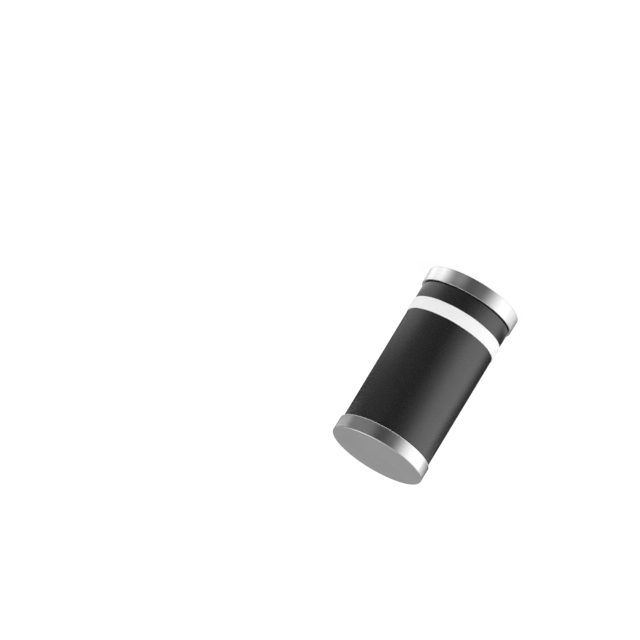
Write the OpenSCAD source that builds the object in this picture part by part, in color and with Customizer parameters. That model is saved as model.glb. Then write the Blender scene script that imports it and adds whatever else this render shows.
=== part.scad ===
// Leadless rectifier diode: a moulded cylinder between two plated metal end caps,
// with the silicon chip soldered between the caps' shanks inside the moulding.
// It stands on its cathode end. The origin is the centre of that end face and
// +Z runs along the axis towards the anode. Sizes are in millimetres.

/* [Case] */
// Overall length, from end face to end face
case_length = 5.0; // [4.4:0.1:5.6]
// Diameter of the moulded body
body_d = 2.5; // [2.3:0.02:2.6]
// Width of the fine seam that the moulding leaves beside each end cap
seam_w = 0.03; // [0.01:0.005:0.08]
// Depth of that seam
seam_depth = 0.08; // [0.02:0.01:0.15]

/* [End caps] */
// Diameter of each end cap
cap_d = 2.6; // [2.4:0.02:2.8]
// Thickness of each end cap
cap_t = 0.41; // [0.3:0.01:0.6]
// Rounding of the rim around each end face
face_rim_r = 0.025; // [0.01:0.005:0.1]
// Rounding of the rim beside the body
body_rim_r = 0.015; // [0.005:0.005:0.06]

/* [Terminal shanks] */
// Diameter of the shank that each cap sends into the moulding
shank_d = 1.3; // [1.1:0.05:1.6]
// Fillet where the shank leaves the cap
shank_fillet_r = 0.08; // [0.04:0.01:0.14]
// Distance from the cap to the middle of the anchoring groove
groove_from_cap = 0.7; // [0.4:0.05:0.9]
// Radius of the half-round anchoring groove
groove_r = 0.12; // [0.06:0.01:0.18]
// Length of the taper that leads to the soldered tip
taper_length = 0.25; // [0.1:0.05:0.4]

/* [Chip] */
// Side of the square silicon chip
die_side = 1.1; // [0.9:0.05:1.3]
// Thickness of the chip
die_t = 0.28; // [0.2:0.02:0.36]
// Height of the bevelled step on the chip's anode side
mesa_h = 0.12; // [0.06:0.01:0.16]
// How far the bevelled step draws in at each edge
mesa_inset = 0.09; // [0.04:0.01:0.14]
// Thickness of the solder on each side of the chip
solder_t = 0.05; // [0.03:0.01:0.1]
// Distance from the solder's edge to the edge of the bevelled step
solder_margin = 0.04; // [0.02:0.01:0.1]

/* [Junction coating] */
// How far the coating reaches past the chip's corners
coating_cover = 0.15; // [0.08:0.01:0.2]

/* [Cathode band] */
// Width of the printed band
band_w = 0.38; // [0.2:0.02:0.6]
// Distance from the cathode cap to the band
band_from_cap = 0.48; // [0.2:0.01:0.8]
// Thickness of the ink
ink_t = 0.02; // [0.01:0.005:0.05]

/* [Hidden] */
$fn = 96;

body_r = body_d / 2;
cap_r = cap_d / 2;
shank_r = shank_d / 2;
body_length = case_length - 2 * cap_t;

chip_z = case_length / 2;
die_bottom_z = chip_z - die_t / 2;
die_top_z = chip_z + die_t / 2;
stack_t = die_t + 2 * solder_t;
terminal_length = (case_length - stack_t) / 2;

mesa_side = die_side - 2 * mesa_inset;
tip_r = mesa_side / 2 - solder_margin;
die_corner = norm([die_side / sqrt(2), die_t / 2]);
coating_r = die_corner + coating_cover;

// Region outside a quarter circle: it cuts a rounded corner, or fills a fillet.
module corner(r) {
    difference() {
        square(2 * r);
        circle(r);
    }
}

// Half section of an end cap, outer face down, with both rims rounded.
module cap_profile() {
    difference() {
        square([cap_r, cap_t]);
        translate([cap_r - face_rim_r, face_rim_r]) mirror([0, 1]) corner(face_rim_r);
        translate([cap_r - body_rim_r, cap_t - body_rim_r]) corner(body_rim_r);
    }
}

// Half section of the shank, with its fillet, anchoring groove and tapered tip.
module shank_profile() {
    difference() {
        union() {
            polygon([
                [0, 0],
                [shank_r, 0],
                [shank_r, terminal_length - taper_length],
                [tip_r, terminal_length],
                [0, terminal_length]
            ]);
            translate([shank_r + shank_fillet_r, cap_t + shank_fillet_r])
                rotate(180) corner(shank_fillet_r);
        }
        translate([shank_r, cap_t + groove_from_cap]) circle(groove_r);
    }
}

module terminal_profile() {
    cap_profile();
    shank_profile();
}

// Puts a half section drawn for the cathode end at the anode end.
module at_anode() {
    translate([0, case_length]) mirror([0, 1]) children();
}

// Headed copper slug, plated: the cathode's end cap and shank are one piece.
module cathode_terminal() {
    color("gainsboro") rotate_extrude() terminal_profile();
}

module anode_terminal() {
    color("gainsboro") rotate_extrude() at_anode() terminal_profile();
}

// Half section of the fine seam between a cap and the moulding.
module seam_profile() {
    translate([body_r - seam_depth, cap_t]) square([2 * seam_depth, seam_w]);
}

// Epoxy moulded round both shanks and the coated chip.
module moulded_body() {
    color("#262626") rotate_extrude() difference() {
        translate([0, cap_t]) square([body_r, body_length]);
        terminal_profile();
        at_anode() terminal_profile();
        seam_profile();
        at_anode() seam_profile();
        translate([0, chip_z]) circle(coating_r);
    }
}

// Ring of white ink that marks the cathode end.
module cathode_band() {
    color("white") rotate_extrude()
        translate([body_r, cap_t + band_from_cap]) square([ink_t, band_w]);
}

// Square chip with a bevelled step on its anode side.
module silicon_die() {
    plate_h = die_t - mesa_h;
    color("dimgray") translate([0, 0, die_bottom_z]) {
        translate([0, 0, plate_h / 2]) cube([die_side, die_side, plate_h], center = true);
        translate([0, 0, plate_h])
            linear_extrude(height = mesa_h, scale = mesa_side / die_side)
                square(die_side, center = true);
    }
}

// Disc of solder between a shank's tip and the chip.
module solder_disc(z) {
    color("silver") translate([0, 0, z]) cylinder(r = tip_r, h = solder_t);
}

module cathode_solder() {
    solder_disc(terminal_length);
}

module anode_solder() {
    solder_disc(die_top_z);
}

// Bead of silicone that seals the chip's edges and wets both shanks' tips.
module junction_coating() {
    color("ivory") difference() {
        translate([0, 0, chip_z]) sphere(coating_r);
        cathode_terminal();
        anode_terminal();
        cathode_solder();
        anode_solder();
        silicon_die();
    }
}

moulded_body();
cathode_terminal();
anode_terminal();
cathode_band();
silicon_die();
cathode_solder();
anode_solder();
junction_coating();
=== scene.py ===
import math

import bpy
import numpy as np
from mathutils import Matrix, Vector


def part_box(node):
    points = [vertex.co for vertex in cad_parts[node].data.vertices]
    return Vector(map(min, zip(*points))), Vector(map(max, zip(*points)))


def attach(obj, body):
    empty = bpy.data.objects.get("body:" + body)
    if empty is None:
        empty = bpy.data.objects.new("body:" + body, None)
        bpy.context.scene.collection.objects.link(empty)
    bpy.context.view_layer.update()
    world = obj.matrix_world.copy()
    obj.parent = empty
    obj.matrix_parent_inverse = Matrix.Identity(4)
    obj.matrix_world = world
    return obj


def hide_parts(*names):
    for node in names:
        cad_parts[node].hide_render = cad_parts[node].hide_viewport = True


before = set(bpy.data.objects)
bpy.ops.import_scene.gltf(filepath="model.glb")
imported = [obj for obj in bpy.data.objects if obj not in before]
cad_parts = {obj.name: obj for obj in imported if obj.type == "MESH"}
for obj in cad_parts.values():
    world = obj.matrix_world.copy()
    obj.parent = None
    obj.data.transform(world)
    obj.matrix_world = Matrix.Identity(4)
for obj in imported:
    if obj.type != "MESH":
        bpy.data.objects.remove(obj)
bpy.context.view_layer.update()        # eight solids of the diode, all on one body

mm = 0.001               # sizes below are in millimetres, Blender is in metres
scene = bpy.context.scene
print("frame:", ", ".join(sorted(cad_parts)))


# main sizes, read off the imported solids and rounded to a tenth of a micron
def span(node):
    low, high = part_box(node)
    return np.round(np.array(low) / mm, 4), np.round(np.array(high) / mm, 4)


caseLength = span("anode_terminal")[1][2]
capRadius = span("cathode_terminal")[1][0]
tipHeight = span("cathode_terminal")[1][2]      # where the cathode shank meets its solder
bodyRadius = span("moulded_body")[1][0]
capThickness = span("moulded_body")[0][2]
bandBottom, bandTop = span("cathode_band")[0][2], span("cathode_band")[1][2]
inkThickness = span("cathode_band")[1][0] - bodyRadius
beadRadius = span("junction_coating")[1][0]
chipHeight = caseLength / 2

# camera: a long lens, a little above the end plane, rolled so that the anode end points down and left
cameraLook = {
    "lens": 1000.0,                # mm, as is the sensor
    "sensor": 36.0,
    "clip": (10.0, 5000.0),        # nearest and farthest mm that it sees
    "picture": 640,                # pixels along each side
    "pixelsPerMm": 39.16,
    "elevation": 16.3,             # degrees above the plane across the axis
    "axisLean": 31.30,             # degrees between the part's axis and the picture's upright
    "middlePixel": (425.35, 375.59),  # where the middle of the part falls
}


def addCamera(look):
    e, lean = math.radians(look["elevation"]), math.radians(look["axisLean"])
    back = Vector((0, -math.cos(e), math.sin(e)))
    uprightRight = Vector((1, 0, 0))
    uprightUp = Vector((0, math.sin(e), math.cos(e)))
    right = -math.cos(lean) * uprightRight - math.sin(lean) * uprightUp     # rolled half a turn and the lean
    up = math.sin(lean) * uprightRight - math.cos(lean) * uprightUp
    half = look["picture"] / 2
    acrossMm, downMm = ((pixel - half) / look["pixelsPerMm"] for pixel in look["middlePixel"])
    middle = Vector((0, 0, chipHeight))
    aim = middle - acrossMm * right + downMm * up
    distance = look["picture"] / look["pixelsPerMm"] * look["lens"] / look["sensor"]
    data = bpy.data.cameras.new("camera")
    data.lens, data.sensor_width = look["lens"], look["sensor"]
    data.clip_start, data.clip_end = (limit * mm for limit in look["clip"])
    camera = bpy.data.objects.new("camera", data)
    place = Matrix((right, up, back)).transposed().to_4x4()
    place.translation = (aim + back * distance) * mm
    camera.matrix_world = place
    scene.collection.objects.link(camera)
    scene.camera = camera


addCamera(cameraLook)
print("camera set")

# how finely the pieces are turned
turning = {
    "steps": 256,            # round the axis
    "straightRows": 14,      # points along a straight stretch or an arc that doesn't give its own
    "arcRows": 12,
    "samePoint": 1e-7,       # mm, two points nearer than this are one
    "sharpAngle": 40,        # degrees, an edge past this stays sharp
}


# points of a straight stretch, start + t (end - start), with t on a cosine so that rows crowd at both ends
def straight(start, end, rows=turning["straightRows"]):
    t = (1 - np.cos(np.linspace(0, np.pi, rows)))[:, None] / 2
    return np.asarray(start, float) * (1 - t) + np.asarray(end, float) * t


# points of an arc, centre + radius (cos a, sin a), with a going evenly from one angle to the other
def arc(centre, radius, fromDegrees, toDegrees, rows=turning["arcRows"]):
    a = np.radians(np.linspace(fromDegrees, toDegrees, rows))
    return np.column_stack((centre[0] + radius * np.cos(a), centre[1] + radius * np.sin(a)))


# one (r, z) outline out of several stretches, without the points that two stretches share
def outline(*stretches):
    points = np.concatenate(stretches)
    step = np.linalg.norm(np.diff(points, axis=0), axis=1)
    return points[np.concatenate(([True], step > turning["samePoint"]))]


# turned surface: the outline's point (r, z) at angle t is (r cos t, r sin t, z).
# A ring closes on itself both ways; otherwise both ends lie on the axis and become single points.
def turned(name, points, ring=False, wobble=None):
    steps = turning["steps"]
    t = np.arange(steps) * 2 * np.pi / steps
    rows = points if ring else points[1:-1]
    r = np.repeat(rows[:, :1], steps, axis=1)
    z = np.repeat(rows[:, 1:], steps, axis=1)
    if wobble is not None:
        r, z = wobble(r, z, t[None, :])
    surface = np.stack((r * np.cos(t), r * np.sin(t), z), axis=-1).reshape(-1, 3)
    count = len(rows)
    grid = np.arange(count * steps).reshape(count, steps)
    lower = grid if ring else grid[:-1]
    upper = np.roll(grid, -1, axis=0) if ring else grid[1:]
    quads = np.stack((lower, np.roll(lower, -1, 1), np.roll(upper, -1, 1), upper), axis=-1).reshape(-1, 4)
    faces = quads.tolist()
    if not ring:
        first, last = len(surface), len(surface) + 1
        surface = np.vstack((surface, (0, 0, points[0, 1]), (0, 0, points[-1, 1])))
        bottom = np.stack((np.full(steps, first), np.roll(grid[0], -1), grid[0]), axis=-1)
        top = np.stack((grid[-1], np.roll(grid[-1], -1), np.full(steps, last)), axis=-1)
        faces += bottom.tolist() + top.tolist()
    mesh = bpy.data.meshes.new(name)
    mesh.from_pydata(surface * mm, [], faces)
    mesh.polygons.foreach_set("use_smooth", np.ones(len(mesh.polygons), bool))
    mesh.set_sharp_from_angle(angle=math.radians(turning["sharpAngle"]))
    mesh.update()
    piece = bpy.data.objects.new(name, mesh)
    scene.collection.objects.link(piece)
    return piece


# rim attribute: corners are (r, z, weight), and each point of the piece gets
# the most that any corner gives, weight * exp(-(distance / reach) squared)
def markRims(piece, corners, reach):
    points = np.empty(len(piece.data.vertices) * 3)
    piece.data.vertices.foreach_get("co", points)
    x, y, z = points.reshape(-1, 3).T / mm
    corners = np.array(corners)
    away = np.hypot(np.hypot(x, y)[:, None] - corners[:, 0], z[:, None] - corners[:, 1])
    rim = (corners[:, 2] * np.exp(-(away / reach) ** 2)).max(axis=1)
    piece.data.attributes.new("rim", "FLOAT", "POINT").data.foreach_set("value", rim.astype(np.float32))


# end caps and shanks: one headed slug each, turned as a whole
terminalShape = {
    "faceRim": 0.025,        # rounding around the end face
    "bodyRim": 0.015,        # rounding beside the moulding
    "shankRadius": 0.65,
    "shankFillet": 0.08,
    "grooveFromCap": 0.70,   # cap to the middle of the half-round groove
    "grooveRadius": 0.12,
    "taper": 0.25,           # length of the tapered end
    "tipRadius": 0.42,
    "rows": {"face": 22, "shank": 5, "groove": 17, "taper": 4, "tip": 6},    # points along a stretch
    "rimReach": 0.024,       # how far wear spreads from a rim
    "faceWear": 0.3,         # wear of the rim around each end face
    "cathodeWear": 0.4,      # wear beside the moulding, at the cathode and at the anode
    "anodeWear": 1.0,
}


# half section: out along the end face, round both rims, in to the shank and up it to the tip
def terminalOutline(s):
    shank, fillet, groove, rows = s["shankRadius"], s["shankFillet"], s["grooveRadius"], s["rows"]
    grooveHeight, taperHeight = capThickness + s["grooveFromCap"], tipHeight - s["taper"]
    rimIn, rimUp = capRadius - s["faceRim"], s["faceRim"]
    edgeIn, edgeUp = capRadius - s["bodyRim"], capThickness - s["bodyRim"]
    return outline(
        straight((0, 0), (rimIn, 0), rows["face"]),
        arc((rimIn, rimUp), s["faceRim"], -90, 0),
        straight((capRadius, rimUp), (capRadius, edgeUp)),
        arc((edgeIn, edgeUp), s["bodyRim"], 0, 90),
        straight((edgeIn, capThickness), (shank + fillet, capThickness)),
        arc((shank + fillet, capThickness + fillet), fillet, 270, 180),
        straight((shank, capThickness + fillet), (shank, grooveHeight - groove), rows["shank"]),
        arc((shank, grooveHeight), groove, 270, 90, rows["groove"]),
        straight((shank, grooveHeight + groove), (shank, taperHeight), rows["shank"]),
        straight((shank, taperHeight), (s["tipRadius"], tipHeight), rows["taper"]),
        straight((s["tipRadius"], tipHeight), (0, tipHeight), rows["tip"]),
    )


# the same outline at the other end: heights counted down from the top, order turned round
def flipped(points):
    turnedOver = np.array(points, float)
    turnedOver[:, 1] = caseLength - turnedOver[:, 1]
    return turnedOver[::-1]


# the rims that wear: around the end face, and beside the moulding
def capRims(s, wear):
    return [(capRadius, 0, s["faceWear"]), (capRadius, capThickness, s[wear])]


slug = terminalOutline(terminalShape)
cathodeCap = turned("cathodeCap", slug)
anodeCap = turned("anodeCap", flipped(slug))
markRims(cathodeCap, capRims(terminalShape, "cathodeWear"), terminalShape["rimReach"])
markRims(anodeCap, flipped(capRims(terminalShape, "anodeWear")), terminalShape["rimReach"])
print("end caps:", len(slug), "rows each")

# black moulding, formed round both shanks and the bead
bodyShape = {
    "seamWidth": 0.03,       # fine seam beside each cap
    "seamDepth": 0.08,
    "rows": {"seamFloor": 4, "seamSide": 5, "wall": 40, "bead": 25},
}


# closed section: up the outside wall from seam to seam, in along the anode cap, and down the inside
# past shank, groove, bead, groove and shank to the cathode cap
def bodyOutline(b, s):
    shank, fillet, groove = s["shankRadius"], s["shankFillet"], s["grooveRadius"]
    rows = {**s["rows"], **b["rows"]}
    low, high = capThickness, caseLength - capThickness
    seam, lowWall, highWall = bodyRadius - b["seamDepth"], low + b["seamWidth"], high - b["seamWidth"]
    lowGroove, highGroove = low + s["grooveFromCap"], high - s["grooveFromCap"]
    reach = math.sqrt(beadRadius ** 2 - shank ** 2)     # chip height to where the bead meets the shank
    lean = math.degrees(math.asin(reach / beadRadius))
    return outline(
        straight((seam, low), (seam, lowWall), rows["seamFloor"]),
        straight((seam, lowWall), (bodyRadius, lowWall), rows["seamSide"]),
        straight((bodyRadius, lowWall), (bodyRadius, highWall), rows["wall"]),
        straight((bodyRadius, highWall), (seam, highWall), rows["seamSide"]),
        straight((seam, highWall), (seam, high), rows["seamFloor"]),
        straight((seam, high), (shank + fillet, high)),
        arc((shank + fillet, high - fillet), fillet, 90, 180),
        straight((shank, high - fillet), (shank, highGroove + groove), rows["shank"]),
        arc((shank, highGroove), groove, 90, 270, rows["groove"]),
        straight((shank, highGroove - groove), (shank, chipHeight + reach), rows["shank"]),
        arc((0, chipHeight), beadRadius, lean, -lean, rows["bead"]),
        straight((shank, chipHeight - reach), (shank, lowGroove + groove), rows["shank"]),
        arc((shank, lowGroove), groove, 90, 270, rows["groove"]),
        straight((shank, lowGroove - groove), (shank, low + fillet), rows["shank"]),
        arc((shank + fillet, low + fillet), fillet, 180, 270),
        straight((shank + fillet, low), (seam, low))[:-1],
    )


moulding = turned("moulding", bodyOutline(bodyShape, terminalShape), ring=True)
print("moulding turned")

# cathode ring: a film of ink with soft edges, whose print line wanders a few microns inside the solid's
bandShape = {
    "inset": 0.006,          # print line to the solid's edge
    "edgeRound": 0.012,
    "wander": 0.004,
    "waves": (3, 7, 13),     # waves of the print line round the ring
    "phases": (0.4, 2.1, 4.6),
    "stagger": 61,           # steps between the two edges' waves
    "rows": {"edge": 4, "round": 7, "under": 6},
    "rimReach": 0.02,
}
inkBottom, inkTop = bandBottom + bandShape["inset"], bandTop - bandShape["inset"]


# closed section: out along the lower edge, up the ink with both corners rounded, in and down the moulding
def bandOutline(b):
    outer, soft, rows = bodyRadius + inkThickness, b["edgeRound"], b["rows"]
    return outline(
        straight((bodyRadius, inkBottom), (outer - soft, inkBottom), rows["edge"]),
        arc((outer - soft, inkBottom + soft), soft, -90, 0, rows["round"]),
        straight((outer, inkBottom + soft), (outer, inkTop - soft)),
        arc((outer - soft, inkTop - soft), soft, 0, 90, rows["round"]),
        straight((outer - soft, inkTop), (bodyRadius, inkTop), rows["edge"]),
        straight((bodyRadius, inkTop), (bodyRadius, inkBottom), rows["under"])[:-1],
    )


# height + wander times the mean of a few sines round the ring, the two edges out of step
def inkWander(r, z, t):
    waves = sum(np.sin(n * t + p) for n, p in zip(bandShape["waves"], bandShape["phases"]))
    upper = z > (inkBottom + inkTop) / 2
    drift = np.where(upper, waves, np.roll(waves, bandShape["stagger"], axis=1)) / len(bandShape["waves"])
    return r, z + bandShape["wander"] * drift


printLines = [(bodyRadius + inkThickness, z, 1.0) for z in (inkBottom, inkTop)]
cathodeRing = turned("cathodeRing", bandOutline(bandShape), ring=True, wobble=inkWander)
markRims(cathodeRing, printLines, bandShape["rimReach"])
print("cathode ring turned")


# node helpers: a new node with its sockets set by name, a sum or product of links and numbers,
# a ramp, a placed group
def node(tree, kind, settings=None, **sockets):
    made = tree.nodes.new(kind)
    for key, value in (settings or {}).items():
        setattr(made, key, value)
    for key, value in sockets.items():
        made.inputs[key].default_value = value
    return made


def calc(tree, operation, *values):
    made = node(tree, "ShaderNodeMath", {"operation": operation})
    for socket, value in zip(made.inputs, values):
        if isinstance(value, bpy.types.NodeSocket):
            tree.links.new(value, socket)
        else:
            socket.default_value = value
    return made.outputs[0]


def ramp(tree, value, start, end, low=0.0, high=1.0, smooth=True):
    made = node(tree, "ShaderNodeMapRange", {"interpolation_type": "SMOOTHSTEP" if smooth else "LINEAR"})
    made.inputs["From Min"].default_value, made.inputs["From Max"].default_value = start, end
    made.inputs["To Min"].default_value, made.inputs["To Max"].default_value = low, high
    tree.links.new(value, made.inputs["Value"])
    return made.outputs[0]


def placed(tree, group, sockets):
    return node(tree, "ShaderNodeGroup", {"node_tree": group}, **sockets).outputs


def newGroup(name, inputs, outputs):
    tree = bpy.data.node_groups.new(name, "ShaderNodeTree")
    for way, labels in (("INPUT", inputs), ("OUTPUT", outputs)):
        for label in labels:
            tree.interface.new_socket(label, in_out=way, socket_type="NodeSocketFloat")
    return tree, tree.nodes.new("NodeGroupInput").outputs, tree.nodes.new("NodeGroupOutput").inputs


# noise on the piece's own coordinates, with its feature size in millimetres
def noise(tree, sizeMm, detail=2.0, roughness=0.5):
    place = node(tree, "ShaderNodeTexCoord").outputs["Object"]
    made = node(tree, "ShaderNodeTexNoise", Detail=detail, Roughness=roughness)
    tree.links.new(place, made.inputs["Vector"])
    tree.links.new(calc(tree, "DIVIDE", 1 / mm, sizeMm), made.inputs["Scale"])
    return made.outputs["Fac"]


# grain: fine noise as a height, broad noise about its middle, 0.5, as a shade about 1
def makeGrain():
    tree, given, out = newGroup("surfaceGrain", ("Fine mm", "Broad mm", "Shade range"), ("Height", "Shade"))
    tree.links.new(noise(tree, given["Fine mm"], detail=3.0, roughness=0.55), out["Height"])
    broad = calc(tree, "SUBTRACT", noise(tree, given["Broad mm"]), 0.5)
    tree.links.new(calc(tree, "MULTIPLY_ADD", broad, given["Shade range"], 1.0), out["Shade"])
    return tree


scratchTilts = ((0, 20, 35), (10, -35, 100), (-15, 30, 155))     # degrees about X, Y and Z
scratchFlank = 0.12          # how far over the peak level a line is whole


# hairlines: noise squeezed into thin sheets along three tilts, so that its peaks cut a surface in fine lines
def makeHairlines():
    tree, given, out = newGroup("hairlines", ("Width mm", "Length mm", "Peak"), ("Mask",))
    place = node(tree, "ShaderNodeTexCoord").outputs["Object"]
    thin, long = (calc(tree, "DIVIDE", 1 / mm, given[size]) for size in ("Width mm", "Length mm"))
    squeeze = node(tree, "ShaderNodeCombineXYZ")
    for axis, scale in zip(squeeze.inputs, (thin, long, long)):
        tree.links.new(scale, axis)
    total = 0.0
    for tilt in scratchTilts:
        turn = node(tree, "ShaderNodeVectorRotate", {"rotation_type": "EULER_XYZ"}, Rotation=np.radians(tilt))
        tree.links.new(place, turn.inputs["Vector"])
        sheets = node(tree, "ShaderNodeVectorMath", {"operation": "MULTIPLY"})
        tree.links.new(turn.outputs[0], sheets.inputs[0])
        tree.links.new(squeeze.outputs[0], sheets.inputs[1])
        peaks = node(tree, "ShaderNodeTexNoise", Scale=1.0, Detail=0.0)
        tree.links.new(sheets.outputs[0], peaks.inputs["Vector"])
        over = calc(tree, "SUBTRACT", peaks.outputs["Fac"], given["Peak"])
        total = calc(tree, "MAXIMUM", ramp(tree, over, 0.0, scratchFlank), total)
    tree.links.new(total, out["Mask"])
    return tree


wornThrough = 0.7            # rim value, less the bite, at which wear is full


# rim wear: the piece's rim attribute, eaten into by noise
def makeRimWear():
    tree, given, out = newGroup("rimWear", ("Patch mm", "Bite"), ("Mask",))
    rim = node(tree, "ShaderNodeAttribute", {"attribute_name": "rim"}).outputs["Fac"]
    bite = calc(tree, "MULTIPLY", noise(tree, given["Patch mm"], detail=3.0), given["Bite"])
    tree.links.new(ramp(tree, calc(tree, "SUBTRACT", rim, bite), 0.0, wornThrough), out["Mask"])
    return tree


surfaceGrain, hairlines, rimWear = makeGrain(), makeHairlines(), makeRimWear()


# an even grey scaled by a shade that changes over the surface
def shaded(tree, colour, shade):
    made = node(tree, "ShaderNodeVectorMath", {"operation": "SCALE"})
    made.inputs[0].default_value = colour
    tree.links.new(shade, made.inputs["Scale"])
    return made.outputs[0]


# relief of a height from 0 to 1, heightMm deep, on top of the relief below it
def raised(tree, height, heightMm, below=None):
    made = node(tree, "ShaderNodeBump", Strength=1.0, Distance=heightMm * mm)
    tree.links.new(height, made.inputs["Height"])
    if below is not None:
        tree.links.new(below, made.inputs["Normal"])
    return made.outputs[0]


def startMaterial(name, look):
    material = bpy.data.materials.new(name)
    material.use_nodes = True
    tree = material.node_tree
    shader = tree.nodes["Principled BSDF"]
    shader.inputs["Metallic"].default_value = look.get("metallic", 0.0)
    shader.inputs["Specular IOR Level"].default_value = look.get("specular", 0.5)
    return material, tree, shader


grainHeights = (0.3, 0.7)    # heights at which a finish has its two roughnesses


# what the grain gives every finish: a shade, a roughness between the look's two, and a fine relief
def grained(tree, look):
    grain = placed(tree, surfaceGrain, look["grain"])
    rough = ramp(tree, grain["Height"], *grainHeights, *look["roughness"], smooth=False)
    return grain["Shade"], rough, raised(tree, grain["Height"], look["grainMm"])


# hairlines cut into the relief and dull it
def scratched(tree, look, rough, normal):
    marks = placed(tree, hairlines, look["scratches"])["Mask"]
    rough = calc(tree, "MULTIPLY_ADD", marks, look["scratchDull"], rough)
    return rough, raised(tree, calc(tree, "SUBTRACT", 1.0, marks), look["scratchMm"], normal)


def endMaterial(tree, shader, colour, shade, rough, normal):
    tree.links.new(shaded(tree, colour, shade), shader.inputs["Base Color"])
    tree.links.new(rough, shader.inputs["Roughness"])
    tree.links.new(normal, shader.inputs["Normal"])


# satin tin: soft mottle, fine grain, edges left matt beside the moulding, a few hairlines from handling
tinLook = {
    "colour": (0.80, 0.80, 0.80),
    "grazing": (0.70, 0.70, 0.70),       # it mirrors less at a low look
    "roughness": (0.21, 0.25),
    "grain": {"Fine mm": 0.022, "Broad mm": 1.1, "Shade range": 0.22},
    "grainMm": 0.00012,                  # depth of the grain
    "wear": {"Patch mm": 0.12, "Bite": 0.5},
    "rimMatt": 0.6,                      # what a worn rim loses of its metal, and gains in roughness
    "rimDull": 0.2,
    "scratches": {"Width mm": 0.022, "Length mm": 0.4, "Peak": 0.73},
    "scratchMm": 0.00002,
    "scratchDull": 0.03,
}


def tinFinish(look):
    material, tree, shader = startMaterial("tinPlate", look)
    shader.inputs["Specular Tint"].default_value = (*look["grazing"], 1)
    shade, rough, normal = grained(tree, look)
    rim = placed(tree, rimWear, look["wear"])["Mask"]
    rough = calc(tree, "MULTIPLY_ADD", rim, look["rimDull"], rough)
    rough, normal = scratched(tree, look, rough, normal)
    tree.links.new(calc(tree, "MULTIPLY_ADD", rim, -look["rimMatt"], 1.0), shader.inputs["Metallic"])
    endMaterial(tree, shader, look["colour"], shade, rough, normal)
    return material


# moulded epoxy: near black, fine grain, specks of pale filler just under the skin, faint hairlines
epoxyLook = {
    "colour": (0.0105, 0.0105, 0.0105),
    "roughness": (0.25, 0.31),
    "specular": 1.0,
    "grain": {"Fine mm": 0.036, "Broad mm": 0.9, "Shade range": 0.35},
    "grainMm": 0.0013,
    "speckMm": 0.03,                     # from speck to speck
    "speckSize": 0.16,                   # radius, as a share of that
    "speckShade": 1.2,                   # what a speck adds to the shade
    "scratches": {"Width mm": 0.04, "Length mm": 0.7, "Peak": 0.76},
    "scratchMm": 0.00005,
    "scratchDull": 0.04,
}


def epoxyFinish(look):
    material, tree, shader = startMaterial("blackEpoxy", look)
    shade, rough, normal = grained(tree, look)
    place = node(tree, "ShaderNodeTexCoord").outputs["Object"]
    cells = node(tree, "ShaderNodeTexVoronoi", Scale=1 / (look["speckMm"] * mm))
    tree.links.new(place, cells.inputs["Vector"])
    speck = ramp(tree, cells.outputs["Distance"], look["speckSize"], 0.0)
    shade = calc(tree, "MULTIPLY_ADD", speck, look["speckShade"], shade)
    rough, normal = scratched(tree, look, rough, normal)
    endMaterial(tree, shader, look["colour"], shade, rough, normal)
    return material


# printed ink: matt white, a little uneven, greyer where its edges wear
inkLook = {
    "colour": (0.88, 0.88, 0.88),
    "roughness": (0.45, 0.58),
    "specular": 0.25,
    "grain": {"Fine mm": 0.045, "Broad mm": 0.3, "Shade range": 0.06},
    "grainMm": 0.0015,
    "wear": {"Patch mm": 0.08, "Bite": 0.7},
    "edgeShade": -0.05,                  # what wear adds to the shade
}


def inkFinish(look):
    material, tree, shader = startMaterial("whiteInk", look)
    shade, rough, normal = grained(tree, look)
    worn = placed(tree, rimWear, look["wear"])["Mask"]
    shade = calc(tree, "MULTIPLY_ADD", worn, look["edgeShade"], shade)
    endMaterial(tree, shader, look["colour"], shade, rough, normal)
    return material


# the pieces inside the moulding: grain alone
insideLooks = {
    "greySilicon": {
        "colour": (0.17, 0.18, 0.20),
        "roughness": (0.12, 0.20),
        "grain": {"Fine mm": 0.05, "Broad mm": 0.4, "Shade range": 0.10},
        "grainMm": 0.0002,
    },
    "dullSolder": {
        "colour": (0.55, 0.55, 0.54),
        "metallic": 1.0,
        "roughness": (0.35, 0.50),
        "grain": {"Fine mm": 0.04, "Broad mm": 0.2, "Shade range": 0.15},
        "grainMm": 0.0020,
    },
    "whiteSilicone": {
        "colour": (0.82, 0.81, 0.76),
        "roughness": (0.40, 0.50),
        "grain": {"Fine mm": 0.10, "Broad mm": 0.5, "Shade range": 0.05},
        "grainMm": 0.0010,
    },
}


def insideFinish(name, look):
    material, tree, shader = startMaterial(name, look)
    endMaterial(tree, shader, look["colour"], *grained(tree, look))
    return material


tinPlate, blackEpoxy, whiteInk = tinFinish(tinLook), epoxyFinish(epoxyLook), inkFinish(inkLook)
greySilicon, dullSolder, whiteSilicone = (insideFinish(name, look) for name, look in insideLooks.items())
print("finishes made:", len(bpy.data.materials))

# what each turned piece stands for
dressing = [
    (cathodeCap, "cathode_terminal", tinPlate, "tin_plate"),
    (anodeCap, "anode_terminal", tinPlate, "tin_plate"),
    (moulding, "moulded_body", blackEpoxy, "epoxy_black"),
    (cathodeRing, "cathode_band", whiteInk, "white_ink"),
]
for piece, solid, material, slot in dressing:
    piece.data.materials.append(material)
    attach(piece, "root")
    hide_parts(solid)

# the hidden pieces keep their solids and get a finish
inside = {"silicon_die": greySilicon, "cathode_solder": dullSolder, "anode_solder": dullSolder,
          "junction_coating": whiteSilicone}
for name, material in inside.items():
    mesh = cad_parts[name].data
    mesh.materials.clear()
    mesh.materials.append(material)
print("pieces dressed:", len(dressing) + len(inside))

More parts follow.
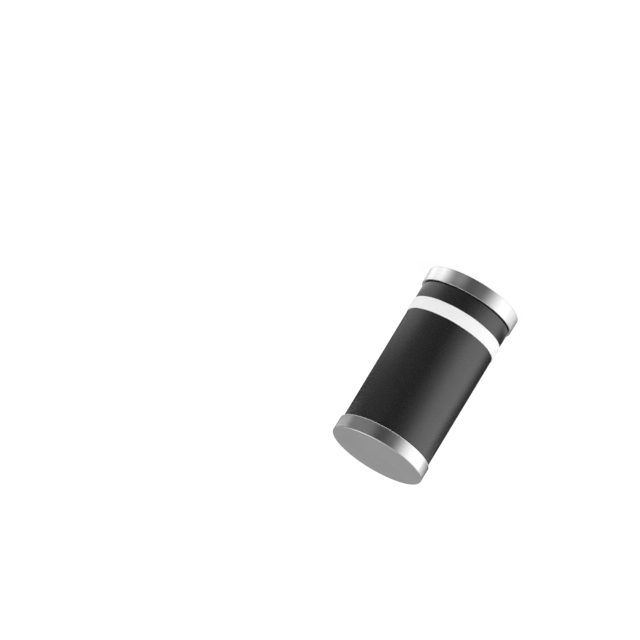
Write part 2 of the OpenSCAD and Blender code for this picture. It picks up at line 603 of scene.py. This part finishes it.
# white table: a real diffuse floor for light, mostly a plain white for the eye and for gloss
floorLook = {
    "half": 300.0,                 # half its side
    "drop": 0.01,                  # how far it lies under the part's foot
    "colour": (0.80, 0.80, 0.80),
    "white": 1.03,                 # brightness of the plain white
    "shadow": 0.20,                # share of the diffuse floor, with its shadow, that still shows
}


def flatSquare(name, half, height):
    h, z = half * mm, height * mm
    mesh = bpy.data.meshes.new(name)
    mesh.from_pydata([(-h, -h, z), (h, -h, z), (h, h, z), (-h, h, z)], [], [(0, 1, 2, 3)])
    square = bpy.data.objects.new(name, mesh)
    scene.collection.objects.link(square)
    return square


def bareMaterial(name):
    material = bpy.data.materials.new(name)
    material.use_nodes = True
    material.node_tree.nodes.clear()
    return material, material.node_tree, node(material.node_tree, "ShaderNodeOutputMaterial")


def addFloor(look):
    floor = flatSquare("floor", look["half"], -look["drop"])
    material, tree, out = bareMaterial("whiteTable")
    paper = node(tree, "ShaderNodeBsdfDiffuse")
    paper.inputs["Color"].default_value = (*look["colour"], 1)
    glow = node(tree, "ShaderNodeEmission", Strength=look["white"])
    path = node(tree, "ShaderNodeLightPath").outputs
    seen = calc(tree, "MAXIMUM", path["Is Camera Ray"], path["Is Glossy Ray"])
    seen = calc(tree, "MAXIMUM", seen, path["Is Transmission Ray"])
    mix = node(tree, "ShaderNodeMixShader")
    tree.links.new(calc(tree, "MULTIPLY", seen, 1 - look["shadow"]), mix.inputs[0])
    tree.links.new(paper.outputs[0], mix.inputs[1])
    tree.links.new(glow.outputs[0], mix.inputs[2])
    tree.links.new(mix.outputs[0], out.inputs["Surface"])
    floor.data.materials.append(material)


addFloor(floorLook)

# reflector mat: lies round the part and shows only in reflections, dark with bright sheets and a painted
# contact shadow at the part's foot.
# A sheet's light is strength * rise(angle) * fall(angle) * near(distance) * far(distance), all ramps.
# A flag is a sheet of negative strength, which takes light from the sheets that it lies on.
# Angles run in degrees from the camera's side, positive towards the picture's right, and are bent near
# the part by 2 (radius + distance) / (radius + 2 distance), as in a picture drawn for a mirror cylinder.
matLook = {
    "half": 300.0,
    "drop": 0.005,                 # it lies over the floor
    "dark": 0.06,                  # its light where there is no sheet
    "contact": (0.0, 0.09),        # how far the painted contact shadow at the part's foot reaches
    "footShadowLevel": 0.8,            # what is left of the mat's light inside that painted shadow
    "sheets": {
        "right": {"rise": (10, 76), "fall": (98, 126), "strength": 1.26},
        "rightBody": {"rise": (-6, 22), "fall": (48, 80), "strength": 0.30, "near": (1.8, 2.8),
                      "far": (10.0, 15.0)},
        "rightFoot": {"rise": (103, 121), "fall": (132, 205), "strength": 0.95, "far": (1.0, 1.5)},
        "rightEdge": {"rise": (103, 117), "fall": (117, 144), "strength": 0.36, "near": (1.8, 2.6),
                      "far": (9.0, 13.0)},
        "rightEndFlag": {"rise": (112, 130), "fall": (160, 190), "strength": -0.055, "near": (11, 13),
                         "far": (15.0, 15.3)},
        "rightEnd": {"rise": (98, 114), "fall": (116, 182), "strength": 1.6, "near": (15.2, 15.9),
                     "far": (18, 22)},
        "backFoot": {"rise": (180, 212), "fall": (390, 400), "strength": 0.60, "far": (1.3, 2.5)},
        "left": {"rise": (-178, -150), "fall": (-106.5, -58.5), "strength": 1.08, "far": (0, 11.5)},
        "leftRim": {"rise": (-200, -180), "fall": (-150, -118), "strength": 0.30, "far": (1.0, 1.5)},
        "leftFoot": {"rise": (-400, -390), "fall": (-175, -150), "strength": 0.60, "far": (1.3, 2.5)},
        "leftEnd": {"rise": (-175, -152), "fall": (-122, -96), "strength": 2.15, "near": (15.3, 15.8),
                    "far": (15.8, 18.0)},
        "leftFlag": {"rise": (-170, -140), "fall": (-90, -62), "strength": -0.20, "near": (1.4, 1.9),
                     "far": (2.6, 4.0)},
        "leftEdgeFlag": {"rise": (-180, -160), "fall": (-150, -125), "strength": -0.20, "near": (1.3, 1.7),
                         "far": (5.5, 10.0)},
        "leftEndFlag": {"rise": (-175, -155), "fall": (-110, -80), "strength": -0.055, "near": (11, 13),
                        "far": (15.0, 15.3)},
        "leftBody": {"rise": (-130, -95), "fall": (-62, -12), "strength": 0.17, "near": (1.8, 2.8),
                     "far": (0, 16)},
        "leftVeil": {"rise": (-130, -100), "fall": (-48, -20), "strength": 0.30, "near": (15.0, 16.0),
                     "far": (19, 26)},
        "leftNear": {"rise": (-120, -90), "fall": (-45, -18), "strength": 0.21, "far": (0.8, 2.2)},
        "frontVeil": {"rise": (-12, 10), "fall": (40, 70), "strength": 0.04},
        "frontFlag": {"rise": (2, 18), "fall": (30, 46), "strength": -0.09, "near": (14.5, 16.0),
                      "far": (22, 30)},
        "frontFoot": {"rise": (-40, -15), "fall": (10, 40), "strength": 0.04, "far": (1.1, 1.6)},
    },
}


def addMat(look):
    mat = flatSquare("reflectorMat", look["half"], -look["drop"])
    material, tree, out = bareMaterial("gradedMat")
    place = node(tree, "ShaderNodeTexCoord").outputs["Object"]
    axes = node(tree, "ShaderNodeSeparateXYZ")
    tree.links.new(place, axes.inputs[0])
    x, y = (calc(tree, "DIVIDE", axes.outputs[i], -mm) for i in (0, 1))     # the picture's right is -X
    xx, yy = (calc(tree, "MULTIPLY", side, side) for side in (x, y))
    reach = calc(tree, "SQRT", calc(tree, "ADD", xx, yy))
    distance = calc(tree, "MAXIMUM", calc(tree, "SUBTRACT", reach, capRadius), 0)
    bend = calc(tree, "DIVIDE", reach, calc(tree, "ADD", reach, distance))
    turn = calc(tree, "MULTIPLY", calc(tree, "ARCTAN2", x, y), math.degrees(2))     # doubled, in degrees
    angle = calc(tree, "MULTIPLY", turn, bend)
    total = look["dark"]
    for sheet in look["sheets"].values():
        light = ramp(tree, angle, *sheet["rise"])
        light = calc(tree, "MULTIPLY", light, ramp(tree, angle, *reversed(sheet["fall"])))
        if "near" in sheet:
            light = calc(tree, "MULTIPLY", light, ramp(tree, distance, *sheet["near"], smooth=False))
        if "far" in sheet:
            light = calc(tree, "MULTIPLY", light, ramp(tree, distance, *reversed(sheet["far"]), smooth=False))
        total = calc(tree, "ADD", calc(tree, "MULTIPLY", light, sheet["strength"]), total)
    # painted contact shadow: the mat's light is dimmed in a thin ring round the part's foot
    paintedFootShadow = ramp(tree, distance, *look["contact"], look["footShadowLevel"], 1.0)
    glow = node(tree, "ShaderNodeEmission")
    tree.links.new(calc(tree, "MULTIPLY", total, paintedFootShadow), glow.inputs["Strength"])
    tree.links.new(glow.outputs[0], out.inputs["Surface"])
    mat.data.materials.append(material)
    mat.visible_camera = mat.visible_diffuse = mat.visible_shadow = False
    mat.visible_transmission = mat.visible_volume_scatter = False


addMat(matLook)

# soft boxes: azimuth is measured from the camera's side, positive towards the picture's right.
# Radiance is what matt surfaces get from a box, shine is how bright it shows in a glossy one.
softBoxes = {
    "key": {"azimuth": 70, "elevation": 38, "distance": 160, "side": 200, "radiance": 1.17, "shine": 0.85},
    "fill": {"azimuth": -85, "elevation": 42, "distance": 160, "side": 160, "radiance": 0.92, "shine": 0.7},
    "rim": {"azimuth": -128, "elevation": 64, "distance": 140, "side": 80, "shine": 1.35},
    "ceiling": {"azimuth": 180, "elevation": 84, "distance": 160, "side": 200, "radiance": 1.9},
}


def addLight(name, box, brightness):
    a, e = math.radians(box["azimuth"]), math.radians(box["elevation"])
    towards = Vector((-math.sin(a) * math.cos(e), -math.cos(a) * math.cos(e), math.sin(e)))
    data = bpy.data.lights.new(name, "AREA")
    data.shape, data.size = "SQUARE", box["side"] * mm
    data.energy = brightness * math.pi * data.size ** 2     # power of a square of that radiance
    light = bpy.data.objects.new(name, data)
    light.location = towards * box["distance"] * mm
    light.rotation_mode = "QUATERNION"
    light.rotation_quaternion = towards.to_track_quat("Z", "Y")
    scene.collection.objects.link(light)
    return light


for name, box in softBoxes.items():
    if "radiance" in box:
        addLight(name, box, box["radiance"]).visible_glossy = False
    if "shine" in box:
        addLight(name + "Shine", box, box["shine"]).visible_diffuse = False

# grey room, darker towards the floor: brightness ramps with the height of the direction
roomLook = {"low": 0.385, "high": 0.49, "heights": (-0.05, 0.80)}


def addRoom(look):
    room = bpy.data.worlds.new("room")
    room.use_nodes = True
    tree = room.node_tree
    axes = node(tree, "ShaderNodeSeparateXYZ")
    tree.links.new(node(tree, "ShaderNodeTexCoord").outputs["Generated"], axes.inputs[0])
    level = ramp(tree, axes.outputs["Z"], *look["heights"], look["low"], look["high"], smooth=False)
    back = tree.nodes["Background"]
    back.inputs["Color"].default_value = (1, 1, 1, 1)
    tree.links.new(level, back.inputs["Strength"])
    scene.world = room


addRoom(roomLook)
scene.view_settings.view_transform = "Standard"
print("stage lit")
